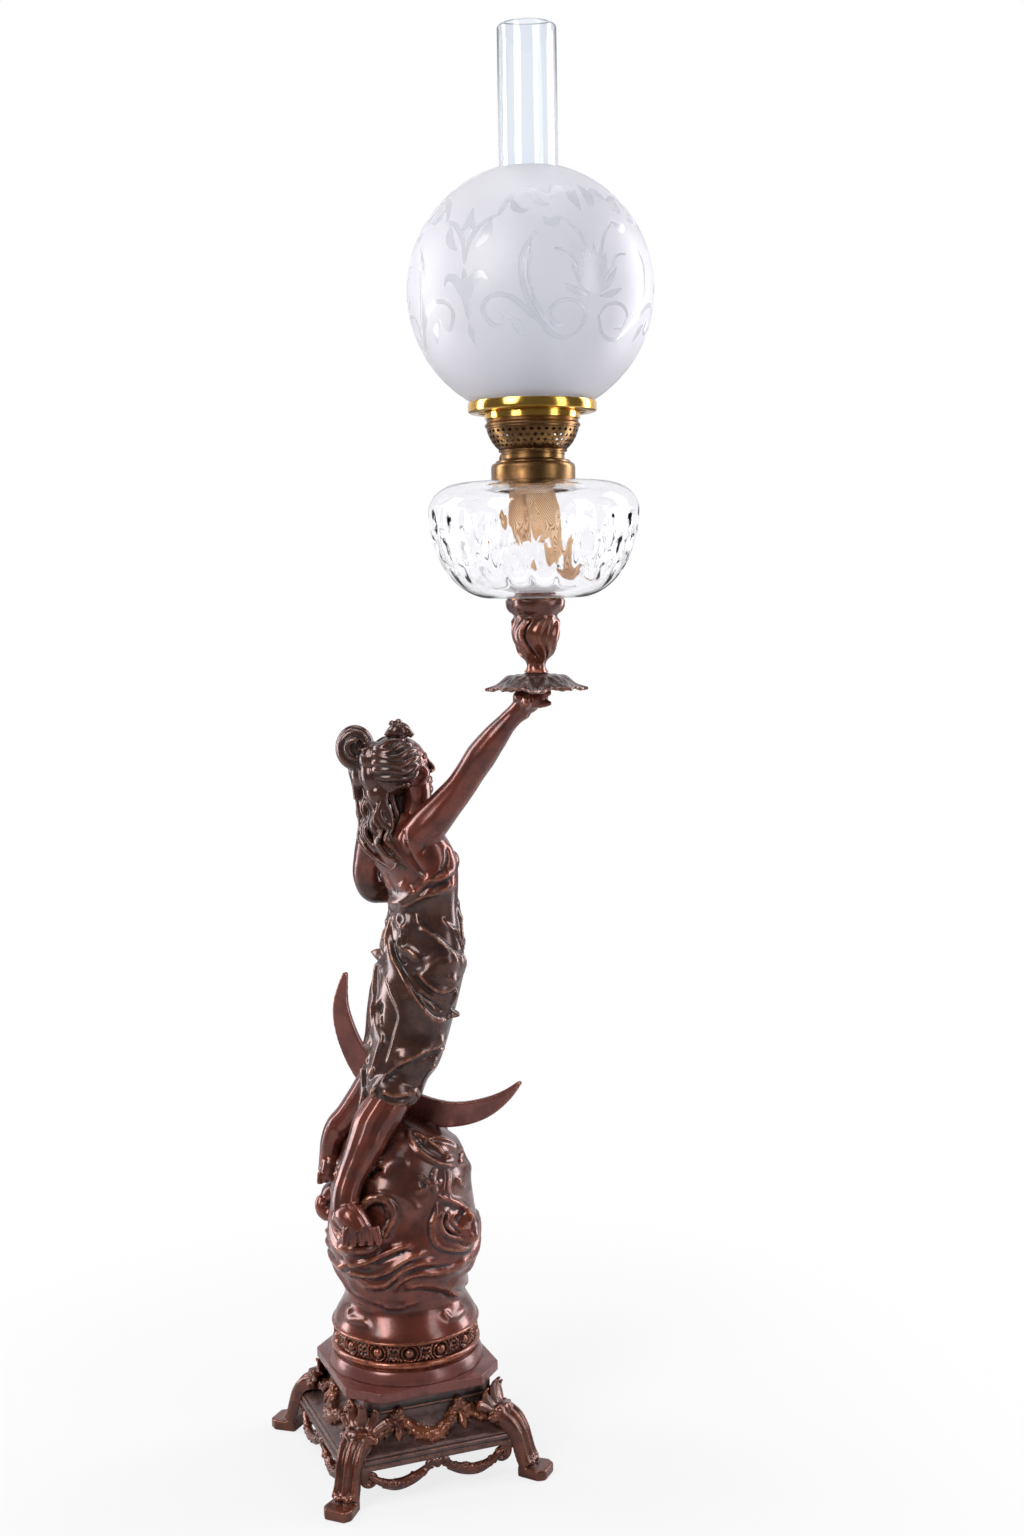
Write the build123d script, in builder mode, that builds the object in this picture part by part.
"""Figural oil lamp: a cast figure on a celestial globe holds up a glass oil font,
a round-wick burner, a shade ring, a frosted ball shade and a glass chimney.

Millimetres, +Z up. The origin is the middle of the square base on the floor, X runs along the
base's front edge and -Y is the front. The figure group is turned about Z against the base, so
that the raised arm reaches out over the front right foot.
"""
import os
from math import asin, cos, degrees, pi, radians, sin, sqrt

from build123d import *

os.makedirs("parts", exist_ok=True)

# Square base on four legs
FOOT_REACH = 125.0
FOOT_LENGTH = 27.0
FOOT_WIDTH = 28.0
FOOT_HEIGHT = 9.5
LEG_WIDTH = 24.0
LEG_HEAD_RADIUS = 9.0
LEG_HEAD_REACH = 98.0
LEG_SHANK = 15.0
PLINTH_LIFT = 29.0
PLINTH_HALF_WIDTH = 83.0
PLINTH_EDGE = 11.0
PLINTH_HEIGHT = 52.0
PLINTH_NECK_HALF_WIDTH = 58.0
PLINTH_NECK_HEIGHT = 15.0
PLINTH_WALL = 4.0
PLINTH_SLOPE_STEPS = 6
GARLAND_RADIUS = 4.2
GARLAND_DROP = 13.5
GARLAND_SPAN = 50.0
GARLAND_KNOT_RADIUS = 6.5
GARLAND_INSET = 6.0
OCTAGON_HALF_WIDTH = 70.4
OCTAGON_CORNER = 24.0
OCTAGON_THICKNESS = 9.0
DISH_STEP = 2.5
DISH_FLARE = 3.0
DISH_HEIGHT = 11.0
DISH_WALL = 5.0
FRIEZE_RADIUS = 63.5
FRIEZE_BEAD = 3.0
FRIEZE_HEIGHT = 22.0
FRIEZE_GROOVE = 2.5
FRIEZE_WALL = 5.0

# Celestial globe casting
GLOBE_FOOT_RADIUS = 64.7
GLOBE_FOOT_EDGE = 5.0
GLOBE_WAIST_RADIUS = 53.3
GLOBE_WAIST_HEIGHT = 30.0
GLOBE_BULGE_RADIUS = 67.5
GLOBE_BULGE_HEIGHT = 76.0
GLOBE_RADIUS = 61.5
GLOBE_CENTRE_HEIGHT = 125.0
GLOBE_WALL = 4.0
GLOBE_BOSS_RADIUS = 10.0
GLOBE_BOSS_LENGTH = 26.0

# Tie rod that holds base, plates and globe together
ROD_RADIUS = 4.0
ROD_CLEARANCE = 0.5
THREAD_CLEARANCE = 0.05
ROD_TAIL = 12.0
WASHER_RADIUS = 13.0
WASHER_THICKNESS = 2.0
NUT_ACROSS = 14.0
NUT_THICKNESS = 7.0

# Crescent moon behind the legs, in the upright plane of the base's diagonal
CRESCENT_RADIUS = 97.0
CRESCENT_INNER_RADIUS = 105.8
CRESCENT_SHIFT = 36.8
CRESCENT_REACH = 33.0
CRESCENT_RISE = 155.0
CRESCENT_TILT = -26.6
CRESCENT_BACK = 15.0
CRESCENT_THICKNESS = 6.0
CRESCENT_LUG_WIDTH = 18.0
CRESCENT_LUG_DEPTH = 10.0
CRESCENT_LUG_OVERLAP = 5.7
CRESCENT_SCREW_RADIUS = 2.0
CRESCENT_SCREW_LENGTH = 14.0
CRESCENT_SCREW_HEAD_RADIUS = 4.0
CRESCENT_SCREW_HEAD = 2.5

# Figure: places are in the figure's own frame, X to the raised hand, Y to the back,
# Z above the middle of the globe. A section is (x, y, z, half width, half depth),
# a limb joint is (x, y, z, radius).
FIGURE_TURN = -21.45
BODY_TURN = -38.0
BODY_WALL = 4.0
BODY_SECTIONS = [
    (-4.0, -13.0, 80.0, 24.0, 20.0),
    (-3.5, -11.0, 99.0, 31.0, 26.0),
    (3.0, -6.0, 113.0, 35.0, 30.0),
    (10.0, 0.0, 145.0, 39.0, 33.0),
    (21.0, 3.0, 196.0, 41.0, 33.0),
    (24.3, 3.0, 232.0, 34.0, 28.0),
    (24.3, 2.0, 251.0, 33.0, 25.0),
    (22.0, 2.0, 273.0, 37.0, 27.0),
    (17.0, 3.0, 290.0, 42.0, 29.0),
    (10.0, 4.0, 309.0, 43.0, 27.0),
    (8.0, 5.0, 324.0, 31.0, 19.0),
    (8.0, 5.0, 333.0, 17.0, 14.0),
]
HEAD_CENTRE = (2.0, 2.0, 373.0)
HEAD_HALF_HEIGHT = 31.0
HEAD_RADIUS = 24.0
HEAD_TILT = 18.0
NECK = [(15.0, 5.0, 325.0, 14.0), (18.0, 5.0, 341.0, 12.5), (13.0, 3.0, 358.0, 13.5)]
HAIR = [
    (-10.0, 0.0, 372.0, 22.0),
    (-15.0, 2.0, 345.0, 17.0),
    (-15.0, 3.0, 318.0, 16.0),
    (-13.0, 3.0, 300.0, 15.0),
]
BUN_CENTRE = (-32.0, -1.0, 394.0)
BUN_RADIUS = 15.5
BUN_ROOT = [(-14.0, 0.0, 378.0, 17.0), (-30.0, -1.0, 390.0, 12.0)]
RIGHT_ARM = [
    (20.0, -15.0, 310.0, 17.0),
    (40.5, -22.0, 335.0, 15.5),
    (54.7, -27.0, 350.4, 14.0),
    (67.2, -33.0, 368.9, 13.2),
    (86.1, -41.0, 396.7, 12.4),
    (97.8, -45.0, 410.4, 10.0),
    (106.0, -48.0, 419.0, 9.0),
    (115.0, -51.0, 426.5, 11.5),
]
LEFT_UPPER_ARM = [
    (-19.0, 20.0, 311.0, 15.0),
    (-25.0, 28.0, 288.0, 13.0),
    (-25.0, 32.0, 264.0, 12.0),
]
LEFT_FOREARM = [
    (-24.0, 32.0, 263.0, 11.5),
    (-4.0, 42.0, 266.0, 10.5),
    (16.0, 45.0, 276.0, 8.5),
    (30.0, 40.0, 290.0, 10.0),
]
ELBOW_RADIUS = 12.6
RIGHT_LEG = [
    (1.0, -16.0, 99.0, 16.0),
    (-7.0, -26.0, 85.0, 19.0),
    (-22.0, -37.0, 63.0, 18.5),
    (-35.0, -50.0, 36.0, 14.0),
    (-44.0, -59.0, 12.0, 11.5),
    (-43.0, -63.0, -6.0, 12.5),
    (-40.0, -70.0, -19.0, 14.0),
    (-38.0, -77.0, -28.0, 9.0),
]
LEFT_LEG = [
    (-16.0, 8.0, 104.0, 16.0),
    (-29.0, 11.0, 82.0, 15.5),
    (-47.0, 15.0, 57.0, 13.0),
    (-58.0, 15.0, 45.0, 12.0),
    (-65.0, 15.0, 22.0, 10.5),
    (-71.0, 15.0, 4.0, 9.0),
]
RIGHT_LEDGE = (-33.0, -58.0, -32.0)
RIGHT_LEDGE_RADIUS = 18.0
LEFT_LEDGE = (-62.0, 14.0, -11.0)
LEFT_LEDGE_RADIUS = 14.0

# Raised hand, drip pan and socket cup, on the lamp's own axis
LAMP_REACH = 125.6
LAMP_FORWARD = 54.7
HAND_RISE = 442.0
HAND_RADIUS = 12.5
HAND_HEIGHT = 21.0
STUD_RADIUS = 3.5
STUD_LENGTH = 44.0
PAN_RADIUS = 43.0
PAN_LOBES = 8
PAN_LOBE_DEPTH = 6.0
PAN_THICKNESS = 2.5
PAN_DROOP = 10.0
PAN_HUB_RADIUS = 13.0
PAN_HUB_HEIGHT = 14.0
CUP_HEIGHT = 59.0
CUP_NECK_RADIUS = 9.2
CUP_NECK_HEIGHT = 10.0
CUP_RADIUS = 20.8
CUP_BODY_HEIGHT = 40.0
CUP_RIM_RADIUS = 24.5
CUP_RIM_HEIGHT = 6.0
CUP_FLOOR = 30.0

# Glass font with its brass peg and collar
PEG_RADIUS = 15.0
PEG_CLEARANCE = 0.06
PEG_LENGTH = 24.0
PEG_FLANGE_RADIUS = 22.0
PEG_FLANGE = 2.5
FONT_RADIUS = 87.3
FONT_FOOT_RADIUS = 36.0
FONT_BELLY_HEIGHT = 72.0
FONT_SHOULDER_RADIUS = 58.0
FONT_SHOULDER_HEIGHT = 95.0
FONT_WALL = 5.0
FONT_FLOOR = 9.0
FONT_NECK_RADIUS = 31.5
FONT_NECK_WALL = 2.5
FONT_NECK_HEIGHT = 12.0
COLLAR_RADIUS = 34.8
COLLAR_WALL = 1.6
COLLAR_HEIGHT = 16.0
COLLAR_TOP = 3.5

# Burner
BURNER_THREAD_RADIUS = 27.5
BURNER_THREAD_LENGTH = 9.0
BURNER_FLANGE_RADIUS = 31.0
BURNER_FLANGE = 2.0
BURNER_RADIUS = 26.0
BURNER_WALL = 1.6
BURNER_HEIGHT = 11.0
BURNER_FLOOR = 2.5
BASKET_TOP_RADIUS = 38.0
BASKET_HEIGHT = 18.0
BASKET_WALL = 1.2
BASKET_ROWS = 4
BASKET_HOLES = 32
BASKET_HOLE_WIDTH = 2.2
BASKET_HOLE_HEIGHT = 3.0
CROWN_RADIUS = 39.5
CROWN_FLOOR = 2.5
CROWN_HEIGHT = 6.5
CROWN_RIM = 3.0
CROWN_BORE_RADIUS = 27.0
PRONG_COUNT = 8
PRONG_WIDTH = 6.0
PRONG_THICKNESS = 0.8
PRONG_HEIGHT = 16.0
PRONG_CLEARANCE = 0.4
WICK_RADIUS = 16.4
WICK_THICKNESS = 2.8
WICK_CLEARANCE = 0.3
WICK_TUBE_WALL = 0.9
WICK_TUBE_TOP = 24.0
WICK_TUBE_TAIL = 7.0
WICK_WEB_WIDTH = 2.0
WICK_PROUD = 3.0
WICK_SLIT = 4.0
WICK_HANG = 16.0
TAIL_WIDTH = 24.0
TAIL_THICKNESS = 3.0
WICK_TAILS = [
    [(-15.0, 2.0), (-14.5, -18.0), (-5.0, -38.0), (3.0, -56.0), (12.0, -74.0)],
    [(15.0, 2.0), (13.5, -18.0), (14.0, -38.0), (22.0, -56.0), (34.0, -74.0)],
]

# Wick raiser
SHAFT_RADIUS = 1.5
SHAFT_RISE = 5.5
SHAFT_INNER = 11.0
SHAFT_OUTER = 41.0
WHEEL_RADIUS = 3.0
WHEEL_THICKNESS = 2.0
WHEEL_SPACING = 12.0
WHEEL_GAP = 0.4
WHEEL_WINDOW = 0.8
WHEEL_BORE_CLEARANCE = 0.02
BUSH_RADIUS = 3.2
BUSH_LENGTH = 9.0
BUSH_START = 12.0
SHAFT_CLEARANCE = 0.05
KNOB_RADIUS = 8.5
KNOB_THICKNESS = 3.5

# Shade ring, ball shade and chimney
RING_RADIUS = 53.0
RING_BAND = 2.2
RING_HEIGHT = 8.3
RING_PLATE = 1.6
RING_PLATE_WIDTH = 8.0
RING_HUB_RADIUS = 39.5
RING_HUB_WALL = 2.5
RING_DROP = 5.5
RING_SPOKES = 6
RING_SPOKE_WIDTH = 8.0
SHADE_RADIUS = 101.0
SHADE_WALL = 2.5
SHADE_LIP_CLEARANCE = 1.8
SHADE_TOP_RADIUS = 35.0
CHIMNEY_BASE_RADIUS = 33.0
CHIMNEY_BASE_HEIGHT = 92.0
CHIMNEY_TUBE_RADIUS = 24.2
CHIMNEY_SHOULDER = 16.0
CHIMNEY_HEIGHT = 315.5
CHIMNEY_WALL = 2.0

# Levels, from the floor up
plinth_top = PLINTH_LIFT + PLINTH_HEIGHT
octagon_top = plinth_top + OCTAGON_THICKNESS
dish_top = octagon_top + DISH_HEIGHT
globe_bottom = dish_top + FRIEZE_HEIGHT
globe_centre = globe_bottom + GLOBE_CENTRE_HEIGHT
globe_top = globe_centre + GLOBE_RADIUS
hand_top = globe_centre + HAND_RISE
cup_bottom = hand_top + PAN_HUB_HEIGHT
cup_top = cup_bottom + CUP_HEIGHT
font_bottom = cup_top + PEG_FLANGE
font_top = font_bottom + FONT_SHOULDER_HEIGHT
collar_top = font_top + COLLAR_HEIGHT
burner_top = collar_top + BURNER_HEIGHT
basket_top = burner_top + BASKET_HEIGHT
crown_top = basket_top + CROWN_HEIGHT
chimney_bottom = basket_top + CROWN_FLOOR
ring_bottom = crown_top + RING_DROP
shade_bottom = ring_bottom + RING_PLATE

# Frames: the figure's own frame, the lamp axis and the crescent's upright plane
turn = radians(FIGURE_TURN)
FIGURE = Plane(origin=(0, 0, globe_centre), x_dir=(cos(turn), sin(turn), 0), z_dir=(0, 0, 1))
lamp_foot = FIGURE.from_local_coords((LAMP_REACH, -LAMP_FORWARD, -globe_centre))
LAMP_AXIS = Axis(lamp_foot, (0, 0, 1))
LAMP_SIDE = Plane(origin=lamp_foot, x_dir=FIGURE.x_dir, z_dir=-FIGURE.y_dir)
LAMP = Plane(origin=lamp_foot, x_dir=FIGURE.x_dir, z_dir=(0, 0, 1))
DIAGONAL = Vector(1, -1, 0).normalized()
DIAGONAL_BACK = Vector(1, 1, 0).normalized()
CRESCENT_PLANE = Plane(
    origin=DIAGONAL_BACK * CRESCENT_BACK + Vector(0, 0, globe_centre),
    x_dir=DIAGONAL,
    z_dir=-DIAGONAL_BACK,
)

# The saved pieces' origin: on the floor, under the middle of the lamp's whole outline
foot_corner = (FOOT_REACH + FOOT_LENGTH / 2 + FOOT_WIDTH / 2) / sqrt(2)
middle_x = (lamp_foot.X + SHADE_RADIUS - foot_corner) / 2
middle_y = (lamp_foot.Y - SHADE_RADIUS + foot_corner) / 2
SAVED_PLACE = Location((-middle_x, -middle_y, 0))


def turned(outline, side=Plane.XZ, axis=Axis.Z, mode=Mode.ADD):
    """Revolve a closed outline of (radius, height) points about an upright axis."""
    with BuildSketch(side) as section:
        with BuildLine():
            Polyline(*outline, close=True)
        make_face()
    revolve(section.sketch, axis=axis, mode=mode)


def turned_lamp(outline, mode=Mode.ADD):
    """Revolve a closed outline about the lamp's axis."""
    turned(outline, LAMP_SIDE, LAMP_AXIS, mode)


def box_outline(inner, outer, low, high):
    """The outline of a plain ring: inner and outer radius, low and high level."""
    return [(inner, low), (outer, low), (outer, high), (inner, high)]


def limb(joints):
    """Loft a tapering limb through round sections, square to the way that it runs."""
    places = [FIGURE.from_local_coords(joint[:3]) for joint in joints]
    sections = []
    for index, joint in enumerate(joints):
        before = places[max(index - 1, 0)]
        after = places[min(index + 1, len(places) - 1)]
        across = Plane(origin=places[index], x_dir=FIGURE.y_dir, z_dir=after - before)
        with BuildSketch(across) as section:
            Circle(joint[3])
        sections.append(section.sketch)
    loft(sections)


def body_form(inset, sections):
    """Loft the figure's body through oval sections, drawn in by a wall."""
    ovals = []
    for x, y, z, half_width, half_depth in sections:
        with BuildSketch(FIGURE.offset(z)) as section:
            with Locations((x, y)):
                Ellipse(half_width - inset, half_depth - inset, rotation=BODY_TURN)
        ovals.append(section.sketch)
    loft(ovals)


def square_loft(levels):
    """Stack straight-sided tapers through squares given as (half width, level)."""
    squares = []
    for half_width, level in levels:
        with BuildSketch(Plane.XY.offset(level)) as section:
            Rectangle(2 * half_width, 2 * half_width)
        squares.append(section.sketch)
    loft(squares, ruled=True)


def save(piece, name):
    """Move a finished piece to the saved origin, label it and write its STEP file."""
    placed = SAVED_PLACE * piece.part
    placed.label = name
    export_step(placed, f"parts/{name}.step")


# Square plinth: a moulded edge, a hollow slope and a short neck, open below
slope_bottom = PLINTH_LIFT + PLINTH_EDGE
slope_top = plinth_top - PLINTH_NECK_HEIGHT
slope_run = PLINTH_HALF_WIDTH - PLINTH_NECK_HALF_WIDTH


def plinth_levels(inset):
    """The plinth's profile from its lower edge to the top of its neck."""
    levels = [(PLINTH_HALF_WIDTH - inset, PLINTH_LIFT), (PLINTH_HALF_WIDTH - inset, slope_bottom)]
    for step in range(1, PLINTH_SLOPE_STEPS + 1):
        angle = pi / 2 * step / PLINTH_SLOPE_STEPS
        half_width = PLINTH_HALF_WIDTH - inset - slope_run * sin(angle)
        level = slope_top - inset - (slope_top - inset - slope_bottom) * cos(angle)
        levels.append((half_width, level))
    levels.append((PLINTH_NECK_HALF_WIDTH - inset, plinth_top - inset))
    return levels


with BuildPart() as plinth_form:
    square_loft(plinth_levels(0))

with BuildPart() as plinth_hollow:
    square_loft(plinth_levels(PLINTH_WALL))

with BuildPart() as plinth_casting:
    add(plinth_form.part)
    add(plinth_hollow.part, mode=Mode.SUBTRACT)
    with Locations((0, 0, plinth_top)):
        Hole(ROD_RADIUS + ROD_CLEARANCE, depth=2 * PLINTH_WALL)
save(plinth_casting, "plinth_casting")

# Four scrolled legs on the diagonals, seated against the plinth's corners
foot_inner = FOOT_REACH - FOOT_LENGTH / 2
foot_outer = FOOT_REACH + FOOT_LENGTH / 2
leg_top = PLINTH_LIFT + PLINTH_EDGE + LEG_HEAD_RADIUS
CORNER_NAMES = ["front_left", "front_right", "back_right", "back_left"]


def corner_plane(corner):
    """The upright plane through one diagonal: X outwards, Y up."""
    angle = radians(225 + 90 * corner)
    out = Vector(cos(angle), sin(angle), 0)
    return Plane(origin=(0, 0, 0), x_dir=out, z_dir=out.cross(Vector(0, 0, 1)))


for corner, corner_name in enumerate(CORNER_NAMES):
    upright = corner_plane(corner)
    with BuildPart() as leg:
        with BuildSketch(upright):
            with BuildLine():
                front_top = (LEG_HEAD_REACH + LEG_HEAD_RADIUS, leg_top)
                front_low = (foot_outer - FOOT_HEIGHT / 2, FOOT_HEIGHT)
                back_low = (front_low[0] - LEG_SHANK, FOOT_HEIGHT)
                back_top = (LEG_HEAD_REACH - LEG_HEAD_RADIUS, leg_top)
                Line(back_top, front_top)
                TangentArc(front_top, front_low, tangent=(1, -2))
                Line(front_low, back_low)
                TangentArc(back_low, back_top, tangent=(-1, 2))
            make_face()
        extrude(amount=LEG_WIDTH / 2, both=True)
        with BuildSketch(upright):
            with Locations((LEG_HEAD_REACH, leg_top)):
                Circle(LEG_HEAD_RADIUS)
        extrude(amount=LEG_WIDTH / 2, both=True)
        with BuildSketch(upright):
            with Locations((FOOT_REACH, FOOT_HEIGHT / 2)):
                Rectangle(FOOT_LENGTH, FOOT_HEIGHT)
        extrude(amount=FOOT_WIDTH / 2, both=True)
        add(plinth_form.part, mode=Mode.SUBTRACT)
    save(leg, f"leg_{corner_name}")

# Garland aprons hung under the plinth's edge, two loops and a knot on each side
SIDE_NAMES = ["front", "right", "back", "left"]
garland_low = PLINTH_LIFT - GARLAND_DROP


def side_plane(side):
    """The upright plane under one edge of the plinth: X along the edge, Y up."""
    angle = radians(270 + 90 * side)
    out = Vector(cos(angle), sin(angle), 0)
    origin = out * (PLINTH_HALF_WIDTH - GARLAND_INSET)
    return Plane(origin=origin, x_dir=Vector(0, 0, 1).cross(out), z_dir=out)


for side, side_name in enumerate(SIDE_NAMES):
    edge_plane = side_plane(side)
    with BuildPart() as garland:
        for direction in (-1, 1):
            loop_end = (direction * GARLAND_SPAN, PLINTH_LIFT)
            loop_low = (direction * GARLAND_SPAN / 2, garland_low)
            loop_start = (0, PLINTH_LIFT - GARLAND_KNOT_RADIUS)
            with BuildLine(edge_plane) as loop:
                ThreePointArc(loop_start, loop_low, loop_end)
            with BuildSketch(Plane(origin=loop.line @ 0, z_dir=loop.line % 0)):
                Circle(GARLAND_RADIUS)
            sweep(path=loop.line)
        knot = edge_plane.from_local_coords((0, PLINTH_LIFT - GARLAND_KNOT_RADIUS, 0))
        with Locations(knot):
            Sphere(GARLAND_KNOT_RADIUS)
            Cylinder(GARLAND_RADIUS, GARLAND_KNOT_RADIUS, align=(Align.CENTER, Align.CENTER, Align.MIN))
        split(bisect_by=Plane.XY.offset(PLINTH_LIFT), keep=Keep.BOTTOM)
    save(garland, f"garland_{side_name}")

# Octagonal plate, round dish and frieze ring, stacked on the plinth
with BuildPart() as octagon_plate:
    with BuildSketch(Plane.XY.offset(plinth_top)) as octagon:
        Rectangle(2 * OCTAGON_HALF_WIDTH, 2 * OCTAGON_HALF_WIDTH)
        chamfer(octagon.vertices(), OCTAGON_CORNER)
        Circle(ROD_RADIUS + ROD_CLEARANCE, mode=Mode.SUBTRACT)
    extrude(amount=OCTAGON_THICKNESS)
save(octagon_plate, "octagon_plate")

dish_top_radius = FRIEZE_RADIUS + DISH_STEP
dish_bore = dish_top_radius - DISH_WALL
with BuildPart() as dish_ring:
    turned([
        (dish_bore, octagon_top),
        (dish_top_radius + DISH_FLARE, octagon_top),
        (dish_top_radius, dish_top),
        (dish_bore, dish_top),
    ])
save(dish_ring, "dish_ring")

frieze_bore = FRIEZE_RADIUS - FRIEZE_WALL
groove_top = dish_top + FRIEZE_GROOVE
lower_bead = groove_top + 2 * FRIEZE_BEAD
upper_bead = globe_bottom - FRIEZE_BEAD
with BuildPart() as frieze_ring:
    turned([
        (frieze_bore, dish_top),
        (FRIEZE_RADIUS, dish_top),
        (FRIEZE_RADIUS, groove_top),
        (FRIEZE_RADIUS + FRIEZE_BEAD, groove_top),
        (FRIEZE_RADIUS + FRIEZE_BEAD, lower_bead),
        (FRIEZE_RADIUS, lower_bead),
        (FRIEZE_RADIUS, upper_bead),
        (FRIEZE_RADIUS + FRIEZE_BEAD, upper_bead),
        (FRIEZE_RADIUS + FRIEZE_BEAD, globe_bottom),
        (frieze_bore, globe_bottom),
    ])
save(frieze_ring, "frieze_ring")


# Celestial globe: a flared foot, a waist, a swelling and the round top, hollow and open below
def globe_section(inset):
    """Half of the globe's upright section, drawn in by a wall."""
    foot = (GLOBE_FOOT_RADIUS - inset, globe_bottom)
    foot_edge = (GLOBE_FOOT_RADIUS - inset, globe_bottom + GLOBE_FOOT_EDGE)
    waist = (GLOBE_WAIST_RADIUS - inset, globe_bottom + GLOBE_WAIST_HEIGHT)
    bulge = (GLOBE_BULGE_RADIUS - inset, globe_bottom + GLOBE_BULGE_HEIGHT)
    equator = (GLOBE_RADIUS - inset, globe_centre)
    top = (0, globe_top - inset)
    reach = (GLOBE_RADIUS - inset) * sqrt(0.5)
    with BuildSketch(Plane.XZ) as section:
        with BuildLine():
            Line((0, globe_bottom), foot)
            Line(foot, foot_edge)
            TangentArc(waist, foot_edge, tangent=(0, -1))
            ThreePointArc(waist, bulge, equator)
            ThreePointArc(equator, (reach, globe_centre + reach), top)
            Line(top, (0, globe_bottom))
        make_face()
    return section.sketch


with BuildPart() as globe_form:
    revolve(globe_section(0), axis=Axis.Z)
    with Locations(FIGURE.from_local_coords(RIGHT_LEDGE)):
        Sphere(RIGHT_LEDGE_RADIUS)
    with Locations(FIGURE.from_local_coords(LEFT_LEDGE)):
        Sphere(LEFT_LEDGE_RADIUS)

boss_bottom = globe_top - GLOBE_WALL - GLOBE_BOSS_LENGTH
with BuildPart() as globe_hollow:
    revolve(globe_section(GLOBE_WALL), axis=Axis.Z)
    with BuildSketch(Plane.XY.offset(boss_bottom)):
        Circle(GLOBE_BOSS_RADIUS)
    extrude(amount=GLOBE_BOSS_LENGTH + GLOBE_WALL, mode=Mode.SUBTRACT)

lug_foot = CRESCENT_PLANE.from_local_coords((0, 0, 0))
with BuildPart() as globe_casting:
    add(globe_form.part)
    add(globe_hollow.part, mode=Mode.SUBTRACT)
    with BuildSketch(Plane.XY.offset(boss_bottom)):
        Circle(ROD_RADIUS + THREAD_CLEARANCE)
    extrude(amount=GLOBE_BOSS_LENGTH - GLOBE_WALL, mode=Mode.SUBTRACT)
    with BuildSketch(Plane(origin=lug_foot, z_dir=(0, 0, 1))):
        Circle(CRESCENT_SCREW_RADIUS + THREAD_CLEARANCE)
    extrude(amount=GLOBE_RADIUS, mode=Mode.SUBTRACT)
save(globe_casting, "globe_casting")

# Tie rod through the stack, with its washer and nut under the plinth's neck
seat_level = plinth_top - PLINTH_WALL
washer_bottom = seat_level - WASHER_THICKNESS
nut_bottom = washer_bottom - NUT_THICKNESS
with BuildPart() as tie_rod:
    with BuildSketch(Plane.XY.offset(seat_level - ROD_TAIL)):
        Circle(ROD_RADIUS)
    extrude(amount=globe_top - 2 * GLOBE_WALL - seat_level + ROD_TAIL)
save(tie_rod, "tie_rod")

with BuildPart() as rod_washer:
    turned(box_outline(ROD_RADIUS + ROD_CLEARANCE, WASHER_RADIUS, washer_bottom, seat_level))
save(rod_washer, "rod_washer")

with BuildPart() as rod_nut:
    with BuildSketch(Plane.XY.offset(nut_bottom)):
        RegularPolygon(NUT_ACROSS / 2, 6, major_radius=False)
        Circle(ROD_RADIUS + THREAD_CLEARANCE, mode=Mode.SUBTRACT)
    extrude(amount=NUT_THICKNESS)
save(rod_nut, "rod_nut")

# Crescent: two overlapping circles, with a lug that stands on the globe and a screw from inside
lug_bottom = GLOBE_RADIUS - CRESCENT_LUG_DEPTH
lug_top = CRESCENT_RISE - sqrt(CRESCENT_RADIUS**2 - CRESCENT_REACH**2) + CRESCENT_LUG_OVERLAP
screw_reach = CRESCENT_BACK + CRESCENT_SCREW_HEAD_RADIUS
screw_seat = sqrt((GLOBE_RADIUS - GLOBE_WALL) ** 2 - screw_reach**2)
with BuildPart() as crescent:
    with BuildSketch(CRESCENT_PLANE):
        with Locations((CRESCENT_REACH, CRESCENT_RISE)):
            Circle(CRESCENT_RADIUS)
        tilt = radians(CRESCENT_TILT)
        inner_place = (CRESCENT_REACH - CRESCENT_SHIFT * sin(tilt), CRESCENT_RISE + CRESCENT_SHIFT * cos(tilt))
        with Locations(inner_place):
            Circle(CRESCENT_INNER_RADIUS, mode=Mode.SUBTRACT)
        with Locations((0, (lug_bottom + lug_top) / 2)):
            Rectangle(CRESCENT_LUG_WIDTH, lug_top - lug_bottom)
    extrude(amount=CRESCENT_THICKNESS / 2, both=True)
    add(globe_form.part, mode=Mode.SUBTRACT)
    with BuildSketch(Plane(origin=lug_foot, z_dir=(0, 0, 1))):
        Circle(CRESCENT_SCREW_RADIUS + THREAD_CLEARANCE)
    extrude(amount=screw_seat + CRESCENT_SCREW_LENGTH, mode=Mode.SUBTRACT)
save(crescent, "crescent")

screw_head_top = Plane(origin=lug_foot + Vector(0, 0, screw_seat), z_dir=(0, 0, 1))
with BuildPart() as crescent_screw:
    with BuildSketch(screw_head_top):
        Circle(CRESCENT_SCREW_HEAD_RADIUS)
    extrude(amount=-CRESCENT_SCREW_HEAD)
    with BuildSketch(screw_head_top):
        Circle(CRESCENT_SCREW_RADIUS)
    extrude(amount=CRESCENT_SCREW_LENGTH)
save(crescent_screw, "crescent_screw")

# Figure: a hollow body, then the head, arms and legs, each cut to sit on what is before it
with BuildPart() as body_outside:
    body_form(0, BODY_SECTIONS)

with BuildPart() as body_inside:
    body_form(BODY_WALL, BODY_SECTIONS[1:-2])

with BuildPart() as figure_body:
    add(body_outside.part)
    add(body_inside.part, mode=Mode.SUBTRACT)
    add(globe_form.part, mode=Mode.SUBTRACT)
    add(crescent.part, mode=Mode.SUBTRACT)
save(figure_body, "figure_body")

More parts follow.
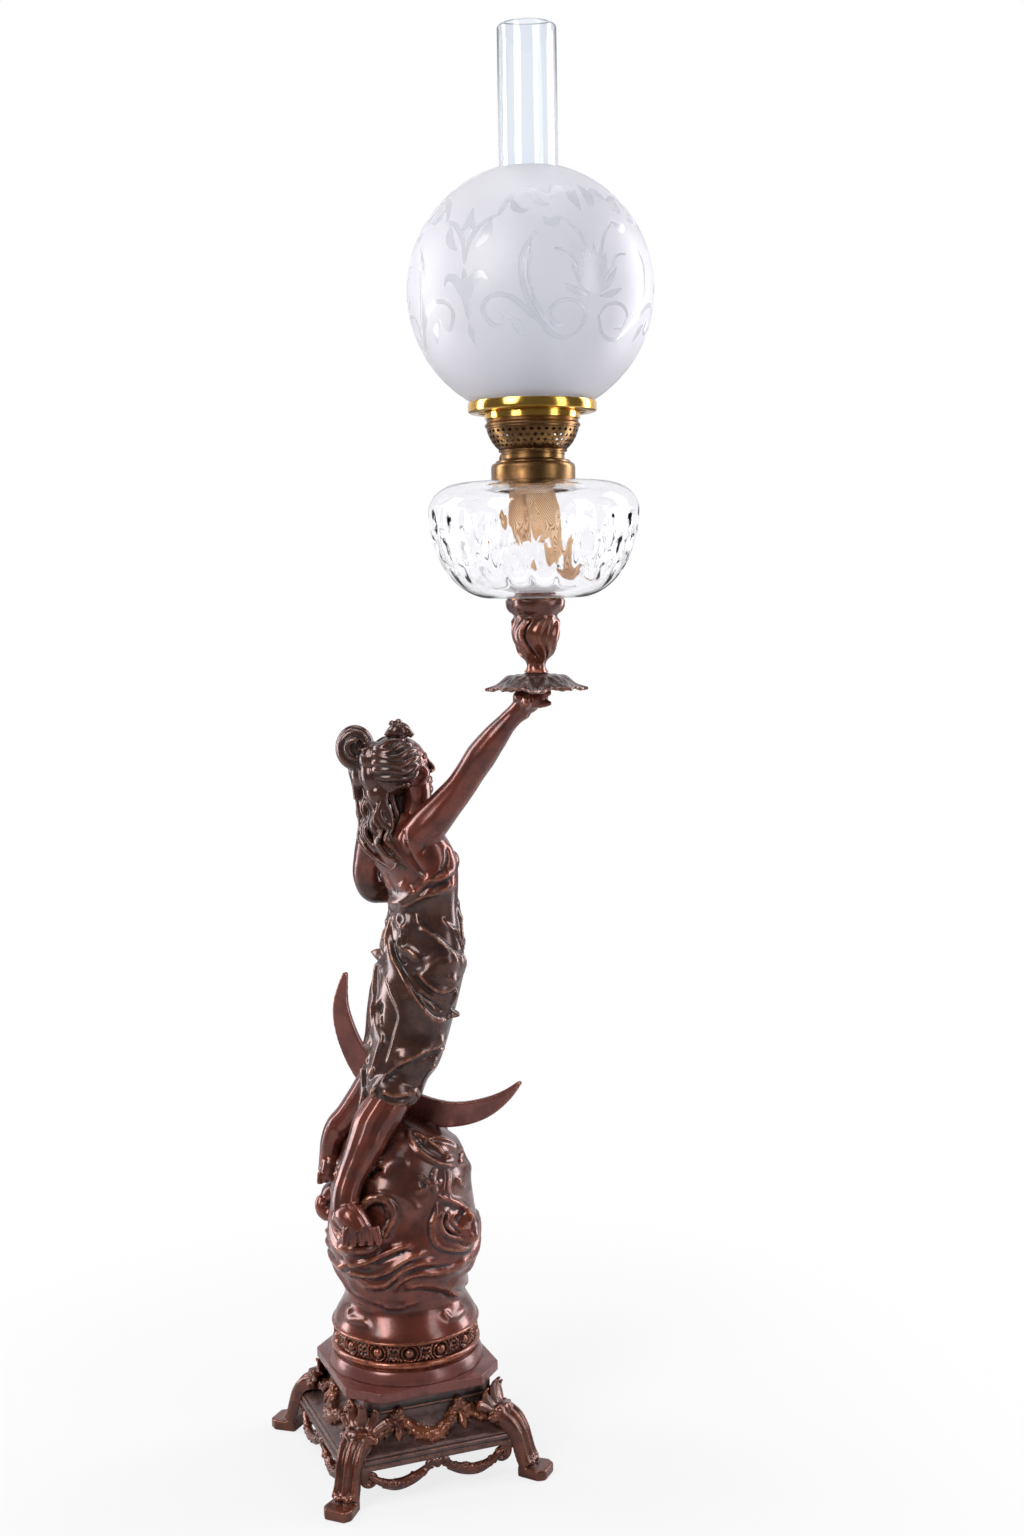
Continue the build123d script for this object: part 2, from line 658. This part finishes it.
head_tilt = radians(HEAD_TILT)
head_up = FIGURE.from_local_coords((-sin(head_tilt), 0, cos(head_tilt))) - FIGURE.origin
head_side = Plane(origin=FIGURE.from_local_coords(HEAD_CENTRE), x_dir=head_up, z_dir=FIGURE.y_dir)
with BuildPart() as head_form:
    with BuildSketch(head_side):
        with BuildLine():
            EllipticalCenterArc((0, 0), HEAD_HALF_HEIGHT, HEAD_RADIUS, arc_size=180)
            Line((-HEAD_HALF_HEIGHT, 0), (HEAD_HALF_HEIGHT, 0))
        make_face()
    revolve(axis=Axis(head_side.origin, head_up))

with BuildPart() as neck_form:
    limb(NECK)

with BuildPart() as hair_form:
    limb(HAIR)

with BuildPart() as bun_form:
    limb(BUN_ROOT)
    with Locations(FIGURE.from_local_coords(BUN_CENTRE)):
        Sphere(BUN_RADIUS)

with BuildPart() as figure_head:
    add(head_form.part)
    add(neck_form.part)
    add(hair_form.part)
    add(bun_form.part)
    add(body_outside.part, mode=Mode.SUBTRACT)
save(figure_head, "figure_head")

hand_plane = LAMP.offset(hand_top)
with BuildPart() as right_arm_form:
    limb(RIGHT_ARM)

with BuildPart() as figure_right_arm:
    add(right_arm_form.part)
    with BuildSketch(hand_plane):
        Circle(HAND_RADIUS)
    extrude(amount=-HAND_HEIGHT)
    split(bisect_by=hand_plane, keep=Keep.BOTTOM)
    with BuildSketch(hand_plane):
        Circle(STUD_RADIUS + THREAD_CLEARANCE)
    extrude(amount=-HAND_HEIGHT, mode=Mode.SUBTRACT)
    add(body_outside.part, mode=Mode.SUBTRACT)
    add(figure_head.part, mode=Mode.SUBTRACT)
save(figure_right_arm, "figure_right_arm")

with BuildPart() as left_forearm_form:
    limb(LEFT_FOREARM)

with BuildPart() as figure_left_arm:
    limb(LEFT_UPPER_ARM)
    with Locations(FIGURE.from_local_coords(LEFT_FOREARM[0][:3])):
        Sphere(ELBOW_RADIUS)
    add(left_forearm_form.part)
    add(body_outside.part, mode=Mode.SUBTRACT)
    add(figure_head.part, mode=Mode.SUBTRACT)
save(figure_left_arm, "figure_left_arm")

for leg_name, joints in (("right", RIGHT_LEG), ("left", LEFT_LEG)):
    with BuildPart() as figure_leg:
        limb(joints)
        add(body_outside.part, mode=Mode.SUBTRACT)
        add(globe_form.part, mode=Mode.SUBTRACT)
        add(crescent.part, mode=Mode.SUBTRACT)
    save(figure_leg, f"figure_{leg_name}_leg")

# Drip pan of leaves on the hand, socket cup above it, and the stud through both
with BuildPart() as pan_outline:
    with BuildSketch(LAMP.offset(hand_top - PAN_DROOP)):
        Circle(PAN_RADIUS - PAN_LOBE_DEPTH)
        lobe_radius = PAN_RADIUS * sin(pi / PAN_LOBES)
        with PolarLocations(PAN_RADIUS - lobe_radius, PAN_LOBES):
            Circle(lobe_radius)
    extrude(amount=PAN_DROOP + PAN_HUB_HEIGHT)

with BuildPart() as drip_pan:
    turned_lamp([
        (0, hand_top),
        (PAN_HUB_RADIUS, hand_top),
        (PAN_RADIUS / 2, hand_top + PAN_THICKNESS),
        (PAN_RADIUS, hand_top - PAN_DROOP + PAN_THICKNESS),
        (PAN_RADIUS, hand_top - PAN_DROOP + 2 * PAN_THICKNESS),
        (PAN_RADIUS / 2, hand_top + 2 * PAN_THICKNESS),
        (PAN_HUB_RADIUS, hand_top + 2 * PAN_THICKNESS),
        (CUP_NECK_RADIUS, cup_bottom),
        (0, cup_bottom),
    ])
    add(pan_outline.part, mode=Mode.INTERSECT)
    with BuildSketch(LAMP.offset(hand_top)):
        Circle(STUD_RADIUS + THREAD_CLEARANCE)
    extrude(amount=PAN_HUB_HEIGHT, mode=Mode.SUBTRACT)
save(drip_pan, "drip_pan")

cup_floor = cup_bottom + CUP_FLOOR
cup_body_top = cup_bottom + CUP_BODY_HEIGHT
socket_radius = PEG_RADIUS + PEG_CLEARANCE
with BuildPart() as socket_cup:
    turned_lamp([
        (STUD_RADIUS + THREAD_CLEARANCE, cup_bottom),
        (CUP_NECK_RADIUS, cup_bottom),
        (CUP_NECK_RADIUS, cup_bottom + CUP_NECK_HEIGHT),
        (CUP_RADIUS, cup_floor),
        (CUP_RADIUS, cup_body_top),
        (CUP_RIM_RADIUS, cup_top - CUP_RIM_HEIGHT),
        (CUP_RIM_RADIUS, cup_top),
        (socket_radius, cup_top),
        (socket_radius, cup_floor),
        (STUD_RADIUS + THREAD_CLEARANCE, cup_floor),
    ])
save(socket_cup, "socket_cup")

stud_bottom = cup_floor - STUD_LENGTH
with BuildPart() as cup_stud:
    with BuildSketch(LAMP.offset(stud_bottom)):
        Circle(STUD_RADIUS)
    extrude(amount=STUD_LENGTH)
save(cup_stud, "cup_stud")

# Font: brass peg, glass bowl, plaster and brass collar
with BuildPart() as font_peg:
    turned_lamp([
        (0, cup_top - PEG_LENGTH),
        (PEG_RADIUS, cup_top - PEG_LENGTH),
        (PEG_RADIUS, cup_top),
        (PEG_FLANGE_RADIUS, cup_top),
        (PEG_FLANGE_RADIUS, font_bottom),
        (0, font_bottom),
    ])
save(font_peg, "font_peg")


def bowl_section(inset, floor):
    """Half of the glass bowl's section up to its shoulder, drawn in by a wall."""
    belly = font_bottom + FONT_BELLY_HEIGHT
    bowl_run = FONT_RADIUS - inset - FONT_FOOT_RADIUS
    bowl_rise = FONT_BELLY_HEIGHT - floor
    shoulder_run = FONT_RADIUS - inset - FONT_SHOULDER_RADIUS
    shoulder_rise = FONT_SHOULDER_HEIGHT - FONT_BELLY_HEIGHT - inset
    bottom = font_bottom + floor
    shoulder = (FONT_SHOULDER_RADIUS, font_top - inset)
    with BuildSketch(LAMP_SIDE) as section:
        with BuildLine():
            Line((0, bottom), (FONT_FOOT_RADIUS, bottom))
            EllipticalCenterArc((FONT_FOOT_RADIUS, belly), bowl_run, bowl_rise, 270, arc_size=90)
            EllipticalCenterArc((FONT_SHOULDER_RADIUS, belly), shoulder_run, shoulder_rise, arc_size=90)
            Polyline(shoulder, (0, font_top - inset), (0, bottom))
        make_face()
    return section.sketch


neck_bore = FONT_NECK_RADIUS - FONT_NECK_WALL
neck_top = font_top + FONT_NECK_HEIGHT
with BuildPart() as font_glass:
    revolve(bowl_section(0, 0), axis=LAMP_AXIS)
    turned_lamp(box_outline(0, FONT_NECK_RADIUS, font_top - FONT_WALL, neck_top))
    revolve(bowl_section(FONT_WALL, FONT_FLOOR), axis=LAMP_AXIS, mode=Mode.SUBTRACT)
    turned_lamp(box_outline(0, neck_bore, font_top - 2 * FONT_WALL, neck_top), mode=Mode.SUBTRACT)
save(font_glass, "font_glass")

collar_bore = BURNER_THREAD_RADIUS + THREAD_CLEARANCE
collar_inside = COLLAR_RADIUS - COLLAR_WALL
collar_ceiling = collar_top - COLLAR_TOP
with BuildPart() as font_collar:
    turned_lamp([
        (collar_inside, font_top),
        (COLLAR_RADIUS, font_top),
        (COLLAR_RADIUS, collar_top - COLLAR_WALL),
        (COLLAR_RADIUS - COLLAR_WALL, collar_top),
        (collar_bore, collar_top),
        (collar_bore, collar_ceiling),
        (collar_inside, collar_ceiling),
    ])
save(font_collar, "font_collar")

with BuildPart() as collar_plaster:
    turned_lamp([
        (FONT_NECK_RADIUS, font_top),
        (collar_inside, font_top),
        (collar_inside, collar_ceiling),
        (neck_bore, collar_ceiling),
        (neck_bore, neck_top),
        (FONT_NECK_RADIUS, neck_top),
    ])
save(collar_plaster, "collar_plaster")

# Wick: a round sleeve with a slit at the tubes' seam, and two flat tails down into the font
wick_inner = WICK_RADIUS - WICK_THICKNESS
outer_tube_bore = WICK_RADIUS + WICK_CLEARANCE
inner_tube_radius = wick_inner - WICK_CLEARANCE
tube_bottom = collar_top - WICK_TUBE_TAIL
tube_top = basket_top + WICK_TUBE_TOP
wick_bottom = tube_bottom - WICK_HANG
with BuildPart() as wick:
    turned_lamp(box_outline(wick_inner, WICK_RADIUS, wick_bottom, tube_top + WICK_PROUD))
    with BuildSketch(LAMP.offset(wick_bottom)):
        with Locations((WICK_RADIUS, 0)):
            Rectangle(2 * WICK_THICKNESS + 2 * WICK_CLEARANCE, WICK_SLIT)
    extrude(amount=tube_top + WICK_PROUD - wick_bottom, mode=Mode.SUBTRACT)
    for tail in WICK_TAILS:
        with BuildSketch(LAMP_SIDE):
            with BuildLine():
                near = [(x - TAIL_THICKNESS / 2, wick_bottom + drop) for x, drop in tail]
                far = [(x + TAIL_THICKNESS / 2, wick_bottom + drop) for x, drop in tail]
                Spline(*near)
                Line(near[-1], far[-1])
                Spline(*far)
                Line(near[0], far[0])
            make_face()
        extrude(amount=TAIL_WIDTH / 2, both=True)
    turned_lamp(box_outline(0, wick_inner, wick_bottom, tube_top), mode=Mode.SUBTRACT)
save(wick, "wick")

# Burner base: threaded skirt, flange, neck and floor, bored for the shaft's bush
shaft_level = collar_top + SHAFT_RISE
shaft_offset = WICK_RADIUS + WHEEL_GAP + WHEEL_RADIUS
neck_inside = BURNER_RADIUS - BURNER_WALL
burner_floor = collar_top + BURNER_FLOOR - BURNER_FLANGE
outer_tube_radius = outer_tube_bore + WICK_TUBE_WALL
SHAFT_PLANE = Plane(
    origin=LAMP.from_local_coords((-shaft_offset, 0, shaft_level)),
    x_dir=FIGURE.x_dir,
    z_dir=FIGURE.y_dir,
)
with BuildPart() as burner_base:
    turned_lamp([
        (BURNER_THREAD_RADIUS - BURNER_WALL, collar_top - BURNER_THREAD_LENGTH),
        (BURNER_THREAD_RADIUS, collar_top - BURNER_THREAD_LENGTH),
        (BURNER_THREAD_RADIUS, collar_top),
        (BURNER_FLANGE_RADIUS, collar_top),
        (BURNER_FLANGE_RADIUS, collar_top + BURNER_FLANGE),
        (BURNER_RADIUS, collar_top + BURNER_FLANGE),
        (BURNER_RADIUS, burner_top),
        (neck_inside, burner_top),
        (neck_inside, collar_top + BURNER_FLANGE),
        (outer_tube_radius, collar_top + BURNER_FLANGE),
        (outer_tube_radius, burner_floor - BURNER_WALL),
        (BURNER_THREAD_RADIUS - BURNER_WALL, burner_floor - BURNER_WALL),
    ])
    with BuildSketch(SHAFT_PLANE):
        Circle(BUSH_RADIUS)
    extrude(amount=SHAFT_OUTER, mode=Mode.SUBTRACT)
save(burner_base, "burner_base")

with BuildPart() as raiser_bush:
    with BuildSketch(SHAFT_PLANE.offset(BUSH_START)):
        Circle(BUSH_RADIUS)
        Circle(SHAFT_RADIUS + SHAFT_CLEARANCE, mode=Mode.SUBTRACT)
    extrude(amount=BUSH_LENGTH)
save(raiser_bush, "raiser_bush")

# Wick tubes, joined by a web along the wick's slit, with windows for the raiser's wheels
with BuildPart() as wick_tube_outer:
    turned_lamp(box_outline(outer_tube_bore, outer_tube_radius, tube_bottom, tube_top))
    for wheel_side in (-1, 1):
        wheel_place = (-shaft_offset, wheel_side * WHEEL_SPACING / 2)
        with BuildSketch(LAMP.offset(shaft_level)):
            with Locations(wheel_place):
                Rectangle(2 * shaft_offset - 2 * WHEEL_GAP, WHEEL_THICKNESS + 2 * WHEEL_WINDOW)
        extrude(amount=WHEEL_RADIUS + WHEEL_WINDOW, both=True, mode=Mode.SUBTRACT)
save(wick_tube_outer, "wick_tube_outer")

web_inner = inner_tube_radius - WICK_TUBE_WALL / 2
with BuildPart() as wick_tube_inner:
    turned_lamp(box_outline(inner_tube_radius - WICK_TUBE_WALL, inner_tube_radius, tube_bottom, tube_top))
    with BuildSketch(LAMP.offset(tube_bottom)):
        with Locations(((web_inner + outer_tube_bore) / 2, 0)):
            Rectangle(outer_tube_bore - web_inner, WICK_WEB_WIDTH)
    extrude(amount=tube_top - tube_bottom)
    with BuildSketch(LAMP.offset(tube_bottom)):
        Circle(outer_tube_bore)
    extrude(amount=tube_top - tube_bottom, mode=Mode.INTERSECT)
save(wick_tube_inner, "wick_tube_inner")

# Perforated air basket between the burner's neck and the crown
basket_slope = (BASKET_TOP_RADIUS - BURNER_RADIUS) / BASKET_HEIGHT
basket_lean = degrees(asin(basket_slope / sqrt(1 + basket_slope**2)))
with BuildPart() as air_basket:
    turned_lamp([
        (BURNER_RADIUS - BASKET_WALL, burner_top),
        (BURNER_RADIUS, burner_top),
        (BASKET_TOP_RADIUS, basket_top),
        (BASKET_TOP_RADIUS - BASKET_WALL, basket_top),
    ])
    row_pitch = BASKET_HEIGHT / (BASKET_ROWS + 1)
    for row in range(BASKET_ROWS):
        row_level = burner_top + (row + 1) * row_pitch
        row_radius = BURNER_RADIUS + basket_slope * (row_level - burner_top)
        turn_offset = 180 / BASKET_HOLES * (row % 2)
        with Locations(LAMP.offset(row_level)):
            with PolarLocations(row_radius, BASKET_HOLES, start_angle=turn_offset):
                Box(
                    6 * BASKET_WALL,
                    BASKET_HOLE_WIDTH,
                    BASKET_HOLE_HEIGHT,
                    rotation=(0, basket_lean, 0),
                    mode=Mode.SUBTRACT,
                )
save(air_basket, "air_basket")

# Gallery crown: the chimney's seat, a rim for the shade ring and the spring prongs
prong_inner = CHIMNEY_BASE_RADIUS + PRONG_CLEARANCE
with BuildPart() as gallery_crown:
    turned_lamp([
        (CROWN_BORE_RADIUS, basket_top),
        (CROWN_RADIUS, basket_top),
        (CROWN_RADIUS, crown_top),
        (CROWN_RADIUS - CROWN_RIM, crown_top),
        (CROWN_RADIUS - CROWN_RIM, chimney_bottom),
        (CROWN_BORE_RADIUS, chimney_bottom),
    ])
    with BuildSketch(LAMP.offset(chimney_bottom)):
        with PolarLocations(prong_inner + PRONG_THICKNESS / 2, PRONG_COUNT):
            Rectangle(PRONG_THICKNESS, PRONG_WIDTH)
    extrude(amount=PRONG_HEIGHT)
save(gallery_crown, "gallery_crown")

# Wick raiser: shaft, two toothed wheels against the wick, and the knob behind the burner
with BuildPart() as wick_shaft:
    with BuildSketch(SHAFT_PLANE.offset(-SHAFT_INNER)):
        Circle(SHAFT_RADIUS)
    extrude(amount=SHAFT_INNER + SHAFT_OUTER)
save(wick_shaft, "wick_shaft")

with BuildPart() as wick_wheels:
    for wheel_side in (-1, 1):
        with BuildSketch(SHAFT_PLANE.offset(wheel_side * WHEEL_SPACING / 2)):
            Circle(WHEEL_RADIUS)
            Circle(SHAFT_RADIUS + WHEEL_BORE_CLEARANCE, mode=Mode.SUBTRACT)
        extrude(amount=WHEEL_THICKNESS / 2, both=True)
save(wick_wheels, "wick_wheels")

with BuildPart() as wick_knob:
    with BuildSketch(SHAFT_PLANE.offset(SHAFT_OUTER)):
        Circle(KNOB_RADIUS)
    extrude(amount=KNOB_THICKNESS)
    fillet(wick_knob.edges(), KNOB_THICKNESS / 4)
save(wick_knob, "wick_knob")

# Shade ring: hub on the crown's rim, spokes, plate and the polished band
hub_inner = RING_HUB_RADIUS - RING_HUB_WALL
plate_inner = RING_RADIUS - RING_PLATE_WIDTH
with BuildPart() as shade_ring:
    turned_lamp(box_outline(hub_inner, RING_HUB_RADIUS, crown_top, shade_bottom))
    turned_lamp([
        (plate_inner, ring_bottom),
        (RING_RADIUS, ring_bottom),
        (RING_RADIUS, ring_bottom + RING_HEIGHT),
        (RING_RADIUS - RING_BAND, ring_bottom + RING_HEIGHT),
        (RING_RADIUS - RING_BAND, shade_bottom),
        (plate_inner, shade_bottom),
    ])
    spoke_start = RING_HUB_RADIUS - RING_HUB_WALL / 2
    spoke_end = plate_inner + RING_BAND
    with BuildSketch(LAMP.offset(ring_bottom)):
        with PolarLocations((spoke_start + spoke_end) / 2, RING_SPOKES):
            Rectangle(spoke_end - spoke_start, RING_SPOKE_WIDTH)
    extrude(amount=RING_PLATE)
save(shade_ring, "shade_ring")

# Ball shade: a thin glass sphere with a short lip below and a chimney opening above
lip_radius = RING_RADIUS - RING_BAND - SHADE_LIP_CLEARANCE
lip_top = ring_bottom + RING_HEIGHT
shade_centre = lip_top + sqrt(SHADE_RADIUS**2 - lip_radius**2)
shade_inner = SHADE_RADIUS - SHADE_WALL
lip_inner = lip_radius - SHADE_WALL
with BuildPart() as globe_shade:
    with BuildSketch(LAMP_SIDE):
        with BuildLine():
            outer_low = (lip_radius, lip_top)
            outer_high = (SHADE_TOP_RADIUS, shade_centre + sqrt(SHADE_RADIUS**2 - SHADE_TOP_RADIUS**2))
            inner_low = (lip_inner, shade_centre - sqrt(shade_inner**2 - lip_inner**2))
            inner_high = (SHADE_TOP_RADIUS, shade_centre + sqrt(shade_inner**2 - SHADE_TOP_RADIUS**2))
            ThreePointArc(outer_low, (SHADE_RADIUS, shade_centre), outer_high)
            Line(outer_high, inner_high)
            ThreePointArc(inner_high, (shade_inner, shade_centre), inner_low)
            Polyline(inner_low, (lip_inner, shade_bottom), (lip_radius, shade_bottom), outer_low)
        make_face()
    revolve(axis=LAMP_AXIS)
save(globe_shade, "globe_shade")

# Chimney: a wide base, a drawn-in shoulder and a straight tube
chimney_top = chimney_bottom + CHIMNEY_HEIGHT
shoulder_low = chimney_bottom + CHIMNEY_BASE_HEIGHT
shoulder_high = shoulder_low + CHIMNEY_SHOULDER
with BuildPart() as glass_chimney:
    with BuildSketch(LAMP_SIDE):
        with BuildLine():
            base_inner = CHIMNEY_BASE_RADIUS - CHIMNEY_WALL
            tube_inner = CHIMNEY_TUBE_RADIUS - CHIMNEY_WALL
            Line((CHIMNEY_BASE_RADIUS, chimney_bottom), (CHIMNEY_BASE_RADIUS, shoulder_low))
            Spline(
                (CHIMNEY_BASE_RADIUS, shoulder_low),
                (CHIMNEY_TUBE_RADIUS, shoulder_high),
                tangents=((0, 1), (0, 1)),
            )
            Polyline(
                (CHIMNEY_TUBE_RADIUS, shoulder_high),
                (CHIMNEY_TUBE_RADIUS, chimney_top),
                (tube_inner, chimney_top),
                (tube_inner, shoulder_high),
            )
            Spline((base_inner, shoulder_low), (tube_inner, shoulder_high), tangents=((0, 1), (0, 1)))
            Polyline(
                (base_inner, shoulder_low),
                (base_inner, chimney_bottom),
                (CHIMNEY_BASE_RADIUS, chimney_bottom),
            )
        make_face()
    revolve(axis=LAMP_AXIS)
save(glass_chimney, "glass_chimney")
